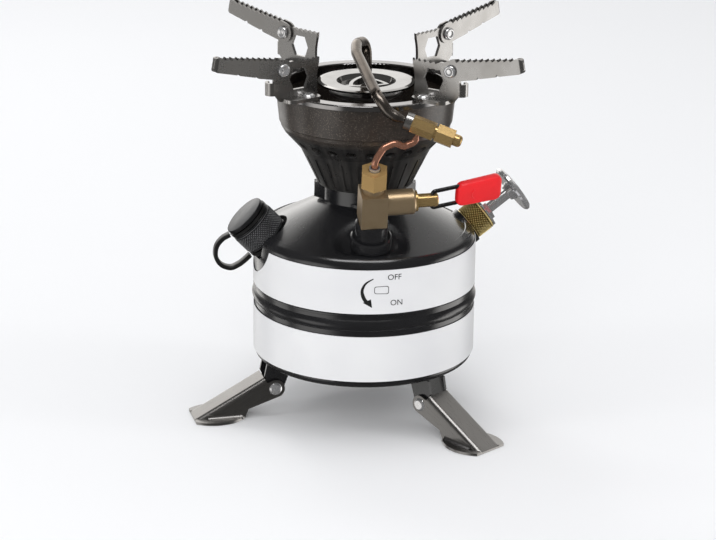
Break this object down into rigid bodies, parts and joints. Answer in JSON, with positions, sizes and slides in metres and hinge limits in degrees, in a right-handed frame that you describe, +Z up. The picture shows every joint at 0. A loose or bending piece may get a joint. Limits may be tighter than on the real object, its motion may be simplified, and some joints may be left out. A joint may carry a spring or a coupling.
{
  "type": "portable oil stove",
  "caption": "Portable pressure oil stove: round fuel tank on folding legs, hand pump, wire-handled valve, burner bowl and folding toothed pot supports.",
  "frame": {"origin": "on the ground plane under the tank's axis", "axes": "+Z up along the tank's axis, +X towards the pump (3 degrees off), legs at 60, 180 and 300 degrees"},
  "size_m": [0.1575, 0.1462, 0.1758],
  "materials": {
    "black_paint": "satin",
    "bowl_paint": "satin sparkle",
    "label_silver": "satin print",
    "stainless": "brushed",
    "polished_steel": "polished",
    "tube_steel": "heat tinted",
    "brass": "dark polished",
    "bronze": "brown patina",
    "bright_brass": "bright",
    "copper": "orange brown",
    "cap_black": "knurled matt",
    "sleeve_red": "glossy",
    "rubber_black": "matt",
    "wick_white": "woven"
  },
  "bodies": {
    "stove": {"tank_lower_shell": "black_paint", "tank_upper_shell": "black_paint", "upper_label": "label_silver", "lower_label": "label_silver", "filler_neck": "black_paint", "strap_anchor": "rubber_black", "filler_strap": "rubber_black", "pump_neck": "black_paint", "pump_barrel": "brass", "pump_check_valve": "brass", "pump_cap": "bright_brass", "pump_end_plate": "polished_steel", "valve_boss": "black_paint", "valve_block": "bronze", "valve_gland": "bronze", "gland_ring": "brass", "feed_nut": "bright_brass", "feed_ferrule": "polished_steel", "pickup_tube": "copper", "pickup_strainer": "brass", "vaporiser_tube": "tube_steel", "vaporiser_flange": "stainless", "vaporiser_nut": "brass", "cleaning_plug": "brass", "feed_tube": "copper", "burner_base": "black_paint", "burner_bowl": "bowl_paint", "rim_ring": "stainless", "mixing_tube": "stainless", "jet_hub": "brass", "jet": "brass", "priming_wick": "wick_white", "burner_spreader": "stainless", "burner_cap": "stainless", "swivel_rivets": "polished_steel", "leg_pins": "polished_steel", "bracket_rear": "black_paint", "bracket_left": "black_paint", "bracket_front": "black_paint"},
    "leg_rear": {"leg_rear": "stainless"},
    "leg_left": {"leg_left": "stainless"},
    "leg_front": {"leg_front": "stainless"},
    "support_rear_right": {"support_rear_right": "stainless"},
    "arm_rear_right": {"arm_rear_right": "stainless"},
    "support_rear_left": {"support_rear_left": "stainless"},
    "arm_rear_left": {"arm_rear_left": "stainless"},
    "support_front_left": {"support_front_left": "stainless"},
    "arm_front_left": {"arm_front_left": "stainless"},
    "support_front_right": {"support_front_right": "stainless"},
    "arm_front_right": {"arm_front_right": "stainless"},
    "spindle": {"valve_spindle": "brass"},
    "handle": {"handle_wire": "polished_steel", "handle_grip": "sleeve_red"},
    "plunger": {"pump_rod": "polished_steel", "pump_cup": "rubber_black", "pump_knob": "polished_steel"},
    "cap_ring": {"filler_gasket": "rubber_black", "strap_ring": "rubber_black"},
    "cap": {"filler_cap": "cap_black"}
  },
  "joints": [
    {"name": "leg_rear_fold", "type": "hinge", "parent": "stove", "child": "leg_rear", "pos_m": [0.02125, 0.03681, 0.0131], "axis": [-0.866, 0.5, 0], "range_deg": [0, 130]},
    {"name": "leg_left_fold", "type": "hinge", "parent": "stove", "child": "leg_left", "pos_m": [-0.0425, 0, 0.0131], "axis": [0, -1, 0], "range_deg": [0, 130]},
    {"name": "leg_front_fold", "type": "hinge", "parent": "stove", "child": "leg_front", "pos_m": [0.02125, -0.03681, 0.0131], "axis": [0.866, 0.5, 0], "range_deg": [0, 130]},
    {"name": "support_rear_right_swivel", "type": "hinge", "parent": "stove", "child": "support_rear_right", "pos_m": [0.03509, 0.01622, 0.1516], "axis": [0, 0, 1], "range_deg": [-25, 65]},
    {"name": "arm_rear_right_fold", "type": "hinge", "parent": "support_rear_right", "child": "arm_rear_right", "pos_m": [0.04373, 0.02525, 0.1658], "axis": [0.5, -0.866, 0], "range_deg": [0, 150]},
    {"name": "support_rear_left_swivel", "type": "hinge", "parent": "stove", "child": "support_rear_left", "pos_m": [-0.02228, 0.03159, 0.1516], "axis": [0, 0, 1], "range_deg": [-29, 61]},
    {"name": "arm_rear_left_fold", "type": "hinge", "parent": "support_rear_left", "child": "arm_rear_left", "pos_m": [-0.02609, 0.0435, 0.1658], "axis": [0.829, 0.5592, 0], "range_deg": [0, 150]},
    {"name": "support_front_left_swivel", "type": "hinge", "parent": "stove", "child": "support_front_left", "pos_m": [-0.03159, -0.02228, 0.1516], "axis": [0, 0, 1], "range_deg": [-17, 73]},
    {"name": "arm_front_left_fold", "type": "hinge", "parent": "support_front_left", "child": "arm_front_left", "pos_m": [-0.04403, -0.02353, 0.1658], "axis": [-0.3746, 0.9272, 0], "range_deg": [0, 150]},
    {"name": "support_front_right_swivel", "type": "hinge", "parent": "stove", "child": "support_front_right", "pos_m": [0.01622, -0.03509, 0.1516], "axis": [0, 0, 1], "range_deg": [-37, 53]},
    {"name": "arm_front_right_fold", "type": "hinge", "parent": "support_front_right", "child": "arm_front_right", "pos_m": [0.02685, -0.04167, 0.1658], "axis": [-0.7431, -0.6691, 0], "range_deg": [0, 150]},
    {"name": "valve_turn", "type": "hinge", "parent": "stove", "child": "spindle", "pos_m": [0.00148, -0.04542, 0.10994], "axis": [0.9953, -0.0923, 0.0298], "range_deg": [-90, 180]},
    {"name": "handle_swing", "type": "hinge", "parent": "spindle", "child": "handle", "pos_m": [0.01741, -0.04689, 0.11041], "axis": [-0.0594, -0.3368, 0.9397], "range_deg": [-50, 25]},
    {"name": "pump_slide", "type": "slide", "parent": "stove", "child": "plunger", "axis": [0.818, 0.0429, 0.5736], "range_m": [-0.0105, 0.0165]},
    {"name": "cap_lift", "type": "slide", "parent": "stove", "child": "cap_ring", "axis": [-0.692, 0.0605, 0.7193], "range_m": [0, 0.0061], "deforming": ["filler_strap"]},
    {"name": "cap_turn", "type": "hinge", "parent": "cap_ring", "child": "cap", "pos_m": [-0.04453, 0.0039, 0.0826], "axis": [-0.692, 0.0605, 0.7193], "range_deg": [0, 1440]}
  ],
  "couplings": [
    {"joint": "cap_lift", "follows": "cap_turn", "m_per_rad": 0.00023873}
  ]
}
